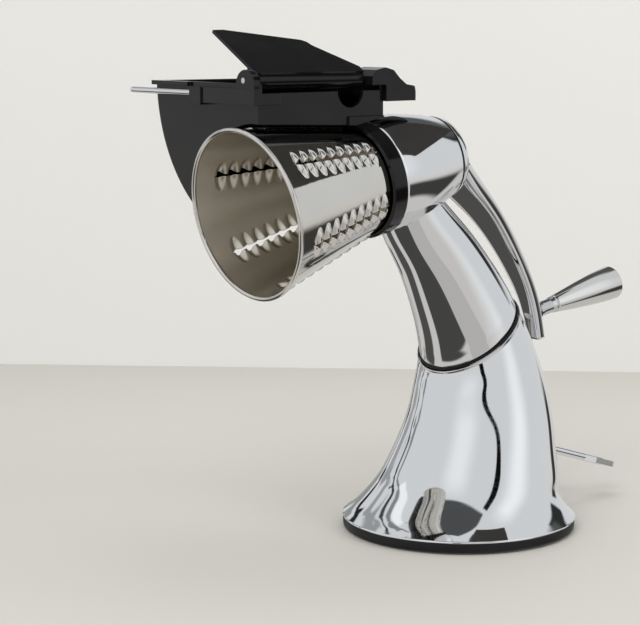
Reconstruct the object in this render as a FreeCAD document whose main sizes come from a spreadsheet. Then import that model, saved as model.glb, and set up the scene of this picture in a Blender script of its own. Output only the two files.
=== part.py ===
# Hand-cranked rotary shredder: a chromed column on a suction base, a tilted barrel that drives a
# grating cone, a side hopper with a swinging pusher, and a crank with a turning grip.
# The cone's mouth points to -X, the crank to +X and the hopper bulges to +Y.
# The origin is the centre of the suction ring's underside. Lengths are millimetres, angles degrees.
import FreeCAD, Part
import Sketcher
import math
import os
from FreeCAD import Vector, Placement, Rotation

doc = FreeCAD.newDocument("rotary_shredder")
sheet = doc.addObject("Spreadsheet::Sheet", "sizes")

# Driving dimensions, one per cell: alias, value. "at" lengths on the barrel run from the point
# where the barrel's axis crosses the base axis towards the cone's mouth.
sizes = [
    # Suction base
    ("base_radius", 72), ("rubber_height", 7.7), ("ring_width", 10), ("membrane_thickness", 2),
    ("membrane_rim_z", 0.8), ("membrane_centre_z", 4.2), ("membrane_centre_radius", 12),
    ("base_plate_inset", 8), ("base_plate_thickness", 2.5), ("base_plate_hole", 4.8),
    ("screw_circle", 50), ("screw_radius", 2), ("screw_head_radius", 3.5), ("screw_head_height", 2.4),
    ("screw_length", 14), ("screw_clearance", 0.2), ("pillar_radius", 5.5), ("pillar_top", 55),
    ("housing_wall", 3),
    # Joint between base housing and arm
    ("joint_x", 6.3), ("joint_z", 121.5), ("joint_tilt", 38), ("joint_radius", 34.8),
    ("seal_thickness", 1.2), ("seal_inset", 0.8), ("joint_wall", 6), ("joint_pocket", 22),
    ("joint_drain", 8), ("bolt_count", 3), ("bolt_circle", 26), ("bolt_radius", 2.5),
    ("bolt_head_radius", 4.2), ("bolt_head_height", 4.5), ("bolt_depth", 12), ("bolt_clearance", 0.2),
    ("arm_wall", 6),
    # Barrel
    ("axis_height", 233.5), ("axis_tilt", 10.37), ("barrel_front_at", 75), ("barrel_rear_at", 22.5),
    ("barrel_rear_radius", 25.1), ("recess_radius", 31), ("recess_at", 66), ("disc_room_radius", 26),
    # Drive
    ("shaft_radius", 5), ("shaft_clearance", 0.05), ("shaft_rear_at", 8), ("bush_radius", 9),
    ("front_bush_at", 62.5), ("bush_length", 16.5), ("bush_step", 2), ("washer_thickness", 1.8),
    ("washer_radius", 12), ("disc_radius", 24), ("disc_at", 64.5), ("disc_thickness", 4),
    ("pilot_radius", 8), ("pilot_length", 4.5), ("pin_radius", 2.2), ("pin_circle", 17),
    ("pin_length", 5.5), ("pin_count", 6), ("seal_ring_inner", 18), ("seal_ring_outer", 24.2),
    ("seal_ring_thickness", 0.8), ("cap_gap", 1), ("cap_crown_at", 11),
    ("nut_radius", 8), ("nut_seat_at", 12), ("nut_height", 6.5),
    # Cone
    ("cone_rear_at", 70), ("cone_front_at", 166), ("cone_rear_radius", 27.4),
    ("cone_front_radius", 48.4), ("cone_wall", 0.9), ("bead_radius", 1.4), ("end_plate_thickness", 1.5),
    ("pilot_clearance", 0.1), ("plate_slot_half", 2), ("plate_slot_clearance", 0.25),
    ("tooth_first_at", 91), ("tooth_pitch", 7.4), ("tooth_count", 9), ("tooth_height", 2.2),
    ("tooth_reach", 9), ("tooth_width", 4.8), ("slot_width", 2), ("slot_overrun", 4),
    ("slot_rows", 6), ("slot_phase", -8.5),
    # Hopper
    ("collar_outer", 34), ("collar_front_at", 84.5), ("collar_spigot_inner", 29.3),
    ("collar_mouth_inner", 31.6), ("hinge_y", 4), ("hinge_z", 278), ("hinge_pin_radius", 1.6),
    ("hinge_clearance", 0.05), ("hopper_front_x", -158), ("hopper_rear_x", -67.5),
    ("hopper_front_radius", 90.5), ("hopper_rear_radius", 73), ("hopper_wall", 2.5),
    ("near_wall_y", -5), ("near_wall_top", 271), ("rim_z", 276), ("rim_thickness", 2.5),
    ("rim_width", 2.2), ("cone_gap", 1.2), ("barrel_gap", 1.5), ("notch_x", -92), ("notch_radius", 9.5),
    ("saddle_half", 6.5), ("saddle_front_x", -94), ("saddle_top", 256.4), ("saddle_low", 249),
    ("saddle_screw_radius", 1.6), ("saddle_screw_head", 3.2), ("bar_thickness", 5), ("bar_low", 264.5),
    ("bar_height", 9), ("bar_length", 50), ("bar_wrap", 13), ("bar_near_y", -8),
    ("ear_radius", 8.5), ("ear_z", 275.5), ("ear_y", 2), ("rod_radius", 1.75), ("rod_tip_y", 115),
    ("rod_z", 271), ("rod_socket", 10), ("tab_near_y", -8), ("tab_far_y", 12), ("tab_tip_x", -45),
    ("tab_low", 264.5), ("tab_top", 273), ("tab_crown", 284), ("tab_front_x", -78),
    # Pusher
    ("pusher_barrel", 5.9), ("pusher_front_x", -157.4), ("pusher_rear_x", -79.5), ("paddle_angle", -43),
    ("paddle_thickness", 3), ("paddle_gap", 0.9), ("plate_angle", 30), ("plate_thickness", 1.8),
    ("plate_offset", 6.6), ("plate_reach", 43.6), ("plate_rear_reach", 31), ("swing_room", 9),
    # Crank
    ("crank_reach", 115), ("spindle_radius", 3.5), ("spindle_foot", 38.4), ("spindle_collar", 5.3),
    ("collar_waist", 4.7), ("collar_start", 46.4), ("grip_start", 61), ("grip_length", 53.5),
    ("grip_small", 5.4), ("grip_large", 10.9), ("grip_clearance", 0.1), ("spindle_end", 106),
    # Suction lever and lift
    ("cam_throw", 7), ("lever_swing", 30), ("pivot_z", 60.5), ("lever_tip_x", 139), ("lever_tip_z", 18.5),
    ("lever_rod_radius", 2.6), ("lever_hub_radius", 8), ("lever_hub_half", 4), ("lever_pad_length", 30),
    ("lever_pad_half", 6.5), ("lever_pad_thickness", 3.6), ("lever_shaft_radius", 4),
    ("lever_shaft_half", 20), ("cam_radius", 13), ("cam_near_y", 5), ("cam_far_y", 11),
    ("bracket_half", 15), ("bracket_thickness", 3), ("bracket_width", 26), ("bracket_height", 57),
    ("yoke_gap", 0.15), ("yoke_side_gap", 0.6), ("yoke_frame", 4), ("yoke_foot_z", 36),
    ("yoke_foot_height", 5), ("stud_radius", 4), ("stud_flange_radius", 10), ("stud_flange_gap", 0.2),
    ("lever_slot_half", 4), ("lever_slot_low", 38), ("lever_slot_top", 78),
]
names = [alias for alias, _ in sizes]
for row, (alias, value) in enumerate(sizes, start=1):
    sheet.set("A%d" % row, alias)
    sheet.set("B%d" % row, str(value))
    sheet.setAlias("B%d" % row, alias)
doc.recompute()


def val(alias):
    return float(getattr(sheet, alias))


tilt = math.radians(val("axis_tilt"))
axis_dir = Vector(math.cos(tilt), 0, math.sin(tilt))
axis_up = Vector(-math.sin(tilt), 0, math.cos(tilt))
axis_point = Vector(0, 0, val("axis_height"))
# Mouth frame: z runs along the barrel's axis to the cone's mouth, x points up
mouth_frame = Placement(axis_point, Rotation(Vector(0, 1, 0), -90 - val("axis_tilt")))
# Grip frame: z runs back along the handle's axis, below the barrel by the crank's reach
grip_frame = Placement(axis_point - axis_up * val("crank_reach"),
                       Rotation(Vector(0, 1, 0), 90 - val("axis_tilt")))
subparts = []


def keep(obj, label):
    obj.Label = label
    subparts.append(obj)
    return obj


def feature(label, shape):
    obj = doc.addObject("Part::Feature", label)
    obj.Shape = shape
    return keep(obj, label)


# Terms of a sum such as "disc_at + disc_thickness": only + and - between aliases and numbers
def total(text):
    answer, sign = 0.0, 1.0
    for word in text.split():
        if word == "+":
            sign = 1.0
        elif word == "-":
            sign = -1.0
        else:
            answer += sign * (val(word) if word in names else float(word))
    return answer


def bound(text):
    return " ".join("sizes." + word if word in names else word for word in text.split())


# A turned sub-part: a closed outline of (radius, height) sums, revolved about its own Z axis
def turned(label, outline, place=None):
    body = doc.addObject("PartDesign::Body", label)
    sketch = body.newObject("Sketcher::SketchObject", label + "_outline")
    plane = [f for f in body.Origin.OriginFeatures if f.Role == "XZ_Plane"][0]
    sketch.AttachmentSupport = [(plane, "")]
    sketch.MapMode = "FlatFace"
    spots = [(total(r), total(z)) for r, z in outline]
    count = len(spots)
    for i in range(count):
        start = Vector(spots[i][0], spots[i][1], 0)
        stop = Vector(spots[(i + 1) % count][0], spots[(i + 1) % count][1], 0)
        sketch.addGeometry(Part.LineSegment(start, stop))
    for i in range(count):
        sketch.addConstraint(Sketcher.Constraint("Coincident", i, 2, (i + 1) % count, 1))
    for i, (r, z) in enumerate(outline):
        for kind, text, number, line in (("DistanceX", r, spots[i][0], -2), ("DistanceY", z, spots[i][1], -1)):
            if abs(number) < 1e-9:
                sketch.addConstraint(Sketcher.Constraint("PointOnObject", i, 1, line))
            else:
                index = sketch.addConstraint(Sketcher.Constraint(kind, -1, 1, i, 1, number))
                sketch.setExpression("Constraints[%d]" % index, bound(text))
    doc.recompute()
    turn = body.newObject("PartDesign::Revolution", label + "_turned")
    turn.Profile = sketch
    turn.ReferenceAxis = (sketch, ["V_Axis"])
    turn.Angle = 360
    sketch.Visibility = False
    doc.recompute()
    if place is not None:
        body.Placement = place
    return keep(body, label)


def box(x0, x1, y0, y1, z0, z1):
    return Part.makeBox(x1 - x0, y1 - y0, z1 - z0, Vector(x0, y0, z0))


def rod(start, direction, radius, length):
    return Part.makeCylinder(radius, length, start, direction)


def circle_wire(centre, normal, radius):
    return Part.Wire(Part.makeCircle(radius, centre, normal))


# A solid of revolution from points (radius, height): the curved run is a spline through its points
def spun(points, place=None, curved=False):
    low, high = points[0][1], points[-1][1]
    if curved:
        run = Part.BSplineCurve()
        run.interpolate([Vector(r, 0, z) for r, z in points])
        edges = [run.toShape()]
    else:
        edges = [Part.makeLine(Vector(p[0], 0, p[1]), Vector(q[0], 0, q[1]))
                 for p, q in zip(points[:-1], points[1:])]
    if points[-1][0] > 0:
        edges.append(Part.makeLine(Vector(points[-1][0], 0, high), Vector(0, 0, high)))
    edges.append(Part.makeLine(Vector(0, 0, high), Vector(0, 0, low)))
    if points[0][0] > 0:
        edges.append(Part.makeLine(Vector(0, 0, low), Vector(points[0][0], 0, low)))
    solid = Part.Face(Part.Wire(edges)).revolve(Vector(0, 0, 0), Vector(0, 0, 1), 360)
    solid = Part.Solid(solid) if solid.ShapeType == "Shell" else solid
    if place is not None:
        solid = moved(solid, place)
    return solid


def moved(shape, place):
    return shape.transformed(place.toMatrix())


def union(shapes):
    whole = shapes[0]
    for shape in shapes[1:]:
        whole = whole.fuse(shape)
    return whole.removeSplitter()


def polygon_prism(points, direction):
    return Part.Face(Part.makePolygon(points + [points[0]])).extrude(direction)


# Suction base
plate_low = val("rubber_height")
plate_high = plate_low + val("base_plate_thickness")
turned("base_ring", [("base_radius - ring_width", "0"), ("base_radius - 2.5", "0"), ("base_radius - 0.3", "1.6"),
                     ("base_radius - 0.3", "rubber_height"), ("base_radius - ring_width", "rubber_height")])
turned("suction_diaphragm", [("0", "membrane_centre_z"), ("membrane_centre_radius", "membrane_centre_z"),
                             ("base_radius - ring_width", "membrane_rim_z"),
                             ("base_radius - ring_width", "membrane_rim_z + membrane_thickness"),
                             ("membrane_centre_radius", "membrane_centre_z + membrane_thickness"),
                             ("0", "membrane_centre_z + membrane_thickness")])
screw_spots = []
for k in range(4):
    angle = math.radians(45 + 90 * k)
    screw_spots.append(Vector(val("screw_circle") * math.cos(angle), val("screw_circle") * math.sin(angle), 0))
up = Vector(0, 0, 1)
base_plate = rod(Vector(0, 0, plate_low), up, val("base_radius") - val("base_plate_inset"), val("base_plate_thickness"))
base_plate = base_plate.cut(rod(Vector(0, 0, 0), up, val("base_plate_hole"), 20))
for spot in screw_spots:
    base_plate = base_plate.cut(rod(spot, up, val("screw_radius") + val("screw_clearance"), 20))
feature("base_plate", base_plate)
screws = []
for spot in screw_spots:
    head = spot + up * (plate_low - val("screw_head_height"))
    screws.append(union([rod(head, up, val("screw_head_radius"), val("screw_head_height")),
                         rod(head, up, val("screw_radius"), val("screw_head_height") + val("screw_length"))]))
feature("base_screws", Part.makeCompound(screws))

# Column: circles lofted from the flange up the leaning arm, then parted at the joint plane.
# Each section is centre x, centre z, lean, radius.
flange = val("base_radius")
column = [(0, plate_low, 0, flange + 0.2), (0.8, plate_low + 3.8, 0, flange - 4.4),
          (2, plate_low + 9.3, 0, flange - 9.4), (4.5, plate_low + 16.3, 0, flange - 13.8),
          (6.6, plate_low + 22.3, 0, flange - 16.7),
          (11.4, 44, 0, 51), (14.8, 61, 0, 47.5), (16.3, 76, 0, 44.5), (15.2, 100, 16, 38.4),
          (val("joint_x"), val("joint_z"), val("joint_tilt"), val("joint_radius")),
          (-5, 153, 33, 27.3), (-22, 175.5, 38, 24.5), (-38, 193, 42, 22), (-50, 210, 44, 19)]


def column_loft(sections, inset):
    wires = []
    for x, z, lean, radius in sections:
        lean = math.radians(lean)
        wires.append(circle_wire(Vector(x, 0, z), Vector(-math.sin(lean), 0, math.cos(lean)), radius - inset))
    return Part.makeLoft(wires, True, False)


joint = Vector(val("joint_x"), 0, val("joint_z"))
lean = math.radians(val("joint_tilt"))
joint_normal = Vector(-math.sin(lean), 0, math.cos(lean))
half_seal = val("seal_thickness") / 2


def beyond(offset, direction):
    return rod(joint + joint_normal * offset, direction, 150, 300)


outer = column_loft(column, 0)
below_joint = beyond(-half_seal, joint_normal * -1)
above_joint = beyond(half_seal, joint_normal)
room = column_loft(column, val("housing_wall"))
room = room.cut(beyond(-half_seal - val("joint_wall"), joint_normal))
lower_shell = outer.cut(beyond(-half_seal, joint_normal)).cut(room)
pillars = []
for spot in screw_spots:
    pillar = rod(spot + up * plate_high, up, val("pillar_radius"), val("pillar_top") - plate_high)
    pillars.append(pillar.common(outer))
lower = union([lower_shell] + pillars)
for spot in screw_spots:
    lower = lower.cut(rod(spot, up, val("screw_radius"), plate_low + val("screw_length")))
across = Vector(0, 1, 0)
along = across.cross(joint_normal)
bolt_spots = []
for k in range(int(val("bolt_count"))):
    angle = 2 * math.pi * k / val("bolt_count")
    bolt_spots.append(joint + along * (val("bolt_circle") * math.cos(angle))
                      + across * (val("bolt_circle") * math.sin(angle)))
lower = lower.cut(rod(joint - joint_normal * 30, joint_normal, val("joint_drain"), 60))
for spot in bolt_spots:
    lower = lower.cut(rod(spot - joint_normal * 8, joint_normal, val("bolt_radius") + val("bolt_clearance"), 16))
slot = box(35, 90, -val("lever_slot_half"), val("lever_slot_half"), val("lever_slot_low"), val("lever_slot_top"))
lower = lower.cut(slot)
feature("lower_housing", lower)

seal = rod(joint - joint_normal * half_seal, joint_normal, val("joint_radius") - val("seal_inset"),
           val("seal_thickness"))
seal = seal.cut(rod(joint - joint_normal * 5, joint_normal, val("joint_pocket"), 10))
bolts = []
for spot in bolt_spots:
    seal = seal.cut(rod(spot - joint_normal * 5, joint_normal, val("bolt_radius"), 10))
    head = spot - joint_normal * (half_seal + val("joint_wall") + val("bolt_head_height"))
    bolts.append(union([rod(head, joint_normal, val("bolt_head_radius"), val("bolt_head_height")),
                        rod(head, joint_normal, val("bolt_radius"), val("bolt_head_height")
                            + val("joint_wall") + 2 * half_seal + val("bolt_depth"))]))
feature("seam_gasket", seal)
feature("neck_bolts", Part.makeCompound(bolts))

# Barrel and arm in one casting; radius and distance to the mouth side of the axis crossing
barrel = spun([(val("barrel_rear_radius"), val("barrel_rear_at")), (27.6, 30), (31.5, 45), (33.5, 60),
               (33.5, val("barrel_front_at"))], mouth_frame, curved=True)
pocket = [(joint.x, joint.z, val("joint_tilt"), val("joint_pocket")), (-5, 153, 33, 27.3 - val("arm_wall")),
          (-22, 175.5, 38, 24.5 - val("arm_wall")), (-38, 193, 42, 22 - val("arm_wall")),
          (-45, 202, 43, 13)]
barrel_room = spun([(18.5, 27), (20.5, 30), (25, 42), (27.5, 50), (27.5, 57)], mouth_frame)
barrel_room = barrel_room.cut(spun([(val("bush_radius") + 3.5, 10), (val("bush_radius") + 3.5, 90)], mouth_frame))
head = union([outer.common(above_joint).cut(spun([(31, 20), (31, 110)], mouth_frame).cut(barrel)), barrel])
head = head.cut(column_loft(pocket, 0).fuse(barrel_room).cut(
    spun([(val("bush_radius") + 3.5, 10), (val("bush_radius") + 3.5, 90)], mouth_frame)))
for spot in bolt_spots:
    head = head.cut(rod(spot, joint_normal, val("bolt_radius"), half_seal + val("bolt_depth")))
bush_rear_end = val("barrel_rear_at") + val("bush_length")
bush_front_end = val("front_bush_at") - val("bush_length")
head = head.cut(spun([(val("bush_radius"), 10), (val("bush_radius"), bush_rear_end)], mouth_frame))
head = head.cut(spun([(val("bush_radius") - val("bush_step"), 20),
                      (val("bush_radius") - val("bush_step"), 70)], mouth_frame))
head = head.cut(spun([(val("bush_radius"), bush_front_end), (val("bush_radius"), 64)], mouth_frame))
head = head.cut(spun([(val("disc_room_radius"), val("front_bush_at")), (val("disc_room_radius"), 70)],
                     mouth_frame))
head = head.cut(spun([(val("recess_radius"), val("recess_at")), (val("recess_radius"), 120)], mouth_frame))
feature("head_housing", head)

turned("front_bush", [("shaft_radius + shaft_clearance", "front_bush_at - bush_length"),
                      ("bush_radius", "front_bush_at - bush_length"), ("bush_radius", "front_bush_at"),
                      ("shaft_radius + shaft_clearance", "front_bush_at")], mouth_frame)
turned("rear_bush", [("shaft_radius + shaft_clearance", "barrel_rear_at"), ("bush_radius", "barrel_rear_at"),
                     ("bush_radius", "barrel_rear_at + bush_length"),
                     ("shaft_radius + shaft_clearance", "barrel_rear_at + bush_length")], mouth_frame)
turned("thrust_washer", [("shaft_radius + shaft_clearance", "front_bush_at"), ("washer_radius", "front_bush_at"),
                         ("washer_radius", "front_bush_at + washer_thickness"),
                         ("shaft_radius + shaft_clearance", "front_bush_at + washer_thickness")], mouth_frame)
turned("hub_seal", [("seal_ring_inner", "barrel_rear_at - seal_ring_thickness"),
                    ("seal_ring_outer", "barrel_rear_at - seal_ring_thickness"),
                    ("seal_ring_outer", "barrel_rear_at"), ("seal_ring_inner", "barrel_rear_at")], mouth_frame)

# Drive: shaft, disc with a pilot, and pins that carry the cone round
disc_front = val("disc_at") + val("disc_thickness")
turned("drive_shaft", [("0", "shaft_rear_at"), ("shaft_radius", "shaft_rear_at"),
                       ("shaft_radius", "disc_at + disc_thickness"), ("0", "disc_at + disc_thickness")],
       mouth_frame)
toward_mouth = axis_dir * -1


def on_axis(at):
    return axis_point + toward_mouth * at


def ring_spot(k, at):
    angle = math.radians(val("slot_phase") + 360 / val("pin_count") * k)
    out = axis_up * math.cos(angle) - across * math.sin(angle)
    return on_axis(at) + out * val("pin_circle"), out


disc = rod(on_axis(val("disc_at")), toward_mouth, val("disc_radius"), val("disc_thickness"))
disc = union([disc, rod(on_axis(disc_front), toward_mouth, val("pilot_radius"), val("pilot_length"))])
disc = disc.cut(rod(on_axis(0), toward_mouth, val("shaft_radius"), disc_front))
pins = []
for k in range(int(val("pin_count"))):
    spot, out = ring_spot(k, val("disc_at"))
    pin = rod(spot, toward_mouth, val("pin_radius"), val("disc_thickness") + val("pin_length"))
    disc = disc.cut(pin)
    pins.append(pin)
feature("drive_disc", disc)
feature("drive_pins", Part.makeCompound(pins))

# Cone: a plain shell, raised teeth in rows, a long slot down each row and a rolled rim
slope = (val("cone_front_radius") - val("cone_rear_radius")) / (val("cone_front_at") - val("cone_rear_at"))
half_angle = math.atan(slope)


def cone_radius(at):
    return val("cone_rear_radius") + slope * (at - val("cone_rear_at"))


cone_ends = (val("cone_rear_at"), val("cone_front_at"))
cone = spun([(cone_radius(at), at) for at in cone_ends], mouth_frame)
hollow_ends = (val("cone_rear_at") - 5, val("cone_front_at") + 5)
hollow = spun([(cone_radius(at) - val("cone_wall"), at) for at in hollow_ends], mouth_frame)
teeth = []
slots = []
for k in range(int(val("slot_rows"))):
    angle = math.radians(val("slot_phase") + 360 / val("slot_rows") * k)
    out = axis_up * math.cos(angle) - across * math.sin(angle)
    normal = out * math.cos(half_angle) - toward_mouth * math.sin(half_angle)
    along_cone = toward_mouth * math.cos(half_angle) + out * math.sin(half_angle)
    side = out.cross(toward_mouth)
    for n in range(int(val("tooth_count"))):
        at = val("tooth_first_at") + n * val("tooth_pitch")
        foot = on_axis(at) + out * cone_radius(at) - along_cone * (val("tooth_width") / 2)
        edge_drop = val("tooth_reach") ** 2 / (2 * cone_radius(at))
        teeth.append(polygon_prism([foot + side * reach + normal * lift for reach, lift in (
            (-val("tooth_reach"), -edge_drop - 0.8), (val("tooth_reach"), -edge_drop - 0.8),
            (val("tooth_reach"), -edge_drop), (val("slot_width") / 2, val("tooth_height")),
            (-val("slot_width") / 2, val("tooth_height")), (-val("tooth_reach"), -edge_drop))],
            along_cone * val("tooth_width")))
    first = val("tooth_first_at") - val("slot_overrun")
    last = val("tooth_first_at") + (val("tooth_count") - 1) * val("tooth_pitch") + val("slot_overrun")
    corners = []
    for at, reach in ((first, -4), (last, -4), (last, 6), (first, 6)):
        corners.append(on_axis(at) + out * (cone_radius(at) + reach) - side * (val("slot_width") / 2))
    slots.append(polygon_prism(corners, side * val("slot_width")))
cone = cone.fuse(teeth).cut(hollow)
cone = cone.cut(slots)
bead = Part.makeTorus(cone_radius(val("cone_front_at")), val("bead_radius"), on_axis(val("cone_front_at")),
                      toward_mouth)
cone = cone.fuse(bead)
feature("shredder_cone", cone)
plate = rod(on_axis(val("cone_rear_at")), toward_mouth, 40, val("end_plate_thickness")).common(hollow)
plate = plate.cut(rod(on_axis(60), toward_mouth, val("pilot_radius") + val("pilot_clearance"), 20))
for k in range(int(val("pin_count"))):
    spot, out = ring_spot(k, val("cone_rear_at") - 2)
    side = out.cross(toward_mouth)
    for shift in (-1, -0.5, 0, 0.5, 1):
        plate = plate.cut(rod(spot + side * (shift * val("plate_slot_half")), toward_mouth,
                              val("pin_radius") + val("plate_slot_clearance"), 8))
feature("cone_end_plate", plate)

# Hopper: collar in the barrel's mouth, then a chute whose back wall is an arc about the hinge
turned("hopper_collar", [("collar_spigot_inner", "recess_at + 0.3"), ("recess_radius", "recess_at + 0.3"),
                         ("recess_radius", "barrel_front_at"), ("collar_outer", "barrel_front_at"),
                         ("collar_outer", "collar_front_at"), ("collar_mouth_inner", "collar_front_at"),
                         ("collar_spigot_inner", "barrel_front_at")], mouth_frame)
front_x = val("hopper_front_x")
rear_x = val("hopper_rear_x")
wall = val("hopper_wall")
near_y = val("near_wall_y")
rim_z = val("rim_z")
east = Vector(1, 0, 0)
hinge = Vector(front_x, val("hinge_y"), val("hinge_z"))
arc_slope = (val("hopper_rear_radius") - val("hopper_front_radius")) / (rear_x - front_x)


def arc_radius(x):
    return val("hopper_front_radius") + arc_slope * (x - front_x)


def arc_solid(x0, x1, inset):
    return Part.makeCone(arc_radius(x0) - inset, arc_radius(x1) - inset, x1 - x0,
                         Vector(x0, hinge.y, hinge.z), east)


cone_room_gap = val("tooth_height") + val("cone_gap")
keep_out = spun([(33.5 + val("barrel_gap"), 20),
                 (33.5 + val("barrel_gap"), val("barrel_front_at")),
                 (val("collar_outer") + val("barrel_gap"), val("barrel_front_at")),
                 (val("collar_outer") + val("barrel_gap"), val("collar_front_at") + 0.5),
                 (cone_radius(val("collar_front_at")) + cone_room_gap, val("collar_front_at") + 0.5),
                 (cone_radius(180) + cone_room_gap, 180)], mouth_frame)
chute = arc_solid(front_x, rear_x, 0).common(box(-200, 0, near_y, 130, 150, rim_z)).cut(keep_out)
inside = arc_solid(front_x + wall, rear_x - wall, wall).common(box(-200, 0, near_y + wall, 130, 150, 300))
chute = chute.cut(inside)
chute = chute.cut(box(front_x + wall, rear_x - wall, near_y - 1, near_y + wall, val("near_wall_top"), rim_z + 1))
rim_low = rim_z - val("rim_thickness")


def rim_outline(extra):
    return [Vector(front_x - extra, near_y - 0, rim_low), Vector(rear_x + extra, near_y - 0, rim_low),
            Vector(rear_x + extra, hinge.y + arc_radius(rear_x) + extra, rim_low),
            Vector(front_x - extra, hinge.y + arc_radius(front_x) + extra, rim_low)]


rim = polygon_prism(rim_outline(val("rim_width")), up * val("rim_thickness"))
rim = rim.cut(inside).cut(box(-200, 0, near_y - 1, 60, rim_low - 1, rim_z + 1))
saddle = box(val("saddle_front_x"), -68, -val("saddle_half"), val("saddle_half"), val("saddle_low"),
             val("saddle_top"))
saddle_room = spun([(33.5 + 0.8, 20), (33.5 + 0.8, val("barrel_front_at")),
                    (val("collar_outer"), val("barrel_front_at")), (val("collar_outer"), val("collar_front_at")),
                    (cone_radius(val("collar_front_at")) + cone_room_gap, val("collar_front_at")),
                    (cone_radius(180) + cone_room_gap, 180)], mouth_frame)
saddle = saddle.cut(saddle_room)
notch = rod(Vector(val("notch_x"), near_y - 1, val("near_wall_top")), across, val("notch_radius"), 4)
chute = chute.cut(notch)
shell = union([chute, rim, saddle])
# The end wall steps down about the hinge, so the hand plate's root clears it when it swings back
shell = shell.cut(rod(hinge - east, east, val("swing_room"), wall + 1.2))
screw_x = val("notch_x") + 3
shell = shell.cut(rod(Vector(screw_x, 3, val("saddle_top") - 3), up, val("saddle_screw_radius"), 12))
points = [(val("tab_front_x"), 274), (val("tab_front_x"), 279), (-75, 282.6), (-68, val("tab_crown")),
          (-62, 282.4), (-57, 277.5), (-52, 274), (val("tab_tip_x") - 0.8, val("tab_top")),
          (val("tab_tip_x"), 270), (val("tab_tip_x"), val("tab_low")), (rear_x, val("tab_low")), (rear_x, 274)]
tab = polygon_prism([Vector(x, val("tab_near_y"), z) for x, z in points],
                    across * (val("tab_far_y") - val("tab_near_y")))
tab = tab.cut(shell).cut(rod(hinge, east, val("hinge_pin_radius"), 105))
feature("hopper_shell", shell)
feature("hopper_tab", tab)
screw = union([rod(Vector(screw_x, 3, val("saddle_top") - 3), up, val("saddle_screw_radius"), 5),
               rod(Vector(screw_x, 3, val("saddle_top")), up, val("saddle_screw_head"), 2.2)])
feature("hopper_screw", screw)

bar_front = front_x - val("bar_thickness")
bar_top = val("bar_low") + val("bar_height")
bar_end = val("bar_near_y") + val("bar_length") + val("rod_socket")
bar = box(bar_front, front_x, val("bar_near_y"), bar_end, val("bar_low"), bar_top)
wrap = box(front_x, front_x + val("bar_wrap"), val("bar_near_y"), near_y, val("bar_low"), bar_top - 2.5)
socket = box(bar_front - 1, front_x, bar_end - val("rod_socket"), bar_end + 1, val("bar_low") - 1, bar_top)
ear = rod(Vector(bar_front + 1, val("ear_y"), val("ear_z")), east, val("ear_radius"), val("bar_thickness") - 1)
ear = ear.cut(box(-200, 0, -20, 20, 240, bar_top - 4))
rod_start = Vector(bar_front + 2, bar_end - val("rod_socket"), val("rod_z") - 1)
end_bar = union([bar, wrap, socket, ear]).cut(shell)
end_bar = end_bar.cut(rod(rod_start, across, val("rod_radius"), 60))
end_bar = end_bar.cut(rod(hinge - east * 4, east, val("hinge_pin_radius"), 10))
feature("hopper_end_bar", end_bar)
rod_long = val("rod_tip_y") - rod_start.y
guide_rod = union([rod(rod_start, across, val("rod_radius"), rod_long),
                   Part.makeSphere(val("rod_radius"), rod_start + across * rod_long)])
feature("hopper_rod", guide_rod)
pin = rod(hinge - east * 4, east, val("hinge_pin_radius"), 4 - front_x - 61)
feature("hinge_pin", pin)

# Pusher: barrel on the hinge pin, a paddle inside the chute and a hand plate above it
pusher_front = val("pusher_front_x")
pusher_rear = val("pusher_rear_x")
tube_front = front_x + wall + val("paddle_gap")
barrel_tube = rod(Vector(tube_front, hinge.y, hinge.z), east, val("pusher_barrel"), pusher_rear - tube_front)


def hinge_side(degrees, x, reach, lift):
    angle = math.radians(degrees)
    out = Vector(0, math.cos(angle), math.sin(angle))
    return Vector(x, hinge.y, hinge.z) + out * reach + Vector(0, -out.z, out.y) * lift


def paddle_reach(x):
    return arc_radius(x) - wall - val("paddle_gap")


paddle_front = tube_front
paddle_rear = rear_x - wall - val("paddle_gap")
half_paddle = val("paddle_thickness") / 2
paddle_points = [(paddle_front, 9), (paddle_front, paddle_reach(paddle_front) - 1),
                 (paddle_rear, paddle_reach(paddle_rear) - 1), (paddle_rear, 16), (pusher_rear, 9),
                 (pusher_rear, 2), (pusher_front + 8, 2), (pusher_front + 8, 9)]
paddle_corners = [hinge_side(val("paddle_angle"), x, reach, -half_paddle) for x, reach in paddle_points]
paddle_out = hinge_side(val("paddle_angle"), 0, 0, val("paddle_thickness")) - Vector(0, hinge.y, hinge.z)
paddle = polygon_prism(paddle_corners, paddle_out)
pin_bore = rod(hinge - east * 10, east, val("hinge_pin_radius") + val("hinge_clearance"), 140)
paddle = union([barrel_tube, paddle]).cut(pin_bore)
plate_low_side = val("plate_offset") - val("plate_thickness")
plate_points = [(pusher_front, -3), (pusher_front, val("plate_reach")), (-150, val("plate_reach") + 0.3),
                (-102, val("plate_rear_reach") + 1), (-99, val("plate_rear_reach") - 1.5),
                (-98, val("plate_rear_reach") - 5), (pusher_rear, 2), (pusher_rear, -3)]
plate_corners = [hinge_side(val("plate_angle"), x, reach, plate_low_side) for x, reach in plate_points]
plate_out = hinge_side(val("plate_angle"), 0, 0, val("plate_thickness")) - Vector(0, hinge.y, hinge.z)
hand_plate = polygon_prism(plate_corners, plate_out)
hand_plate = hand_plate.cut(barrel_tube)
foot_points = [(pusher_front, -3), (pusher_front, 5), (pusher_rear, 2.5), (pusher_rear, -3)]
foot_corners = [hinge_side(val("plate_angle"), x, reach, 3) for x, reach in foot_points]
foot_out = hinge_side(val("plate_angle"), 0, 0, plate_low_side - 3) - Vector(0, hinge.y, hinge.z)
foot = polygon_prism(foot_corners, foot_out)
paddle = union([paddle, foot.cut(pin_bore)])
feature("pusher_paddle", paddle)
feature("hand_plate", hand_plate.cut(paddle))

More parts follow.
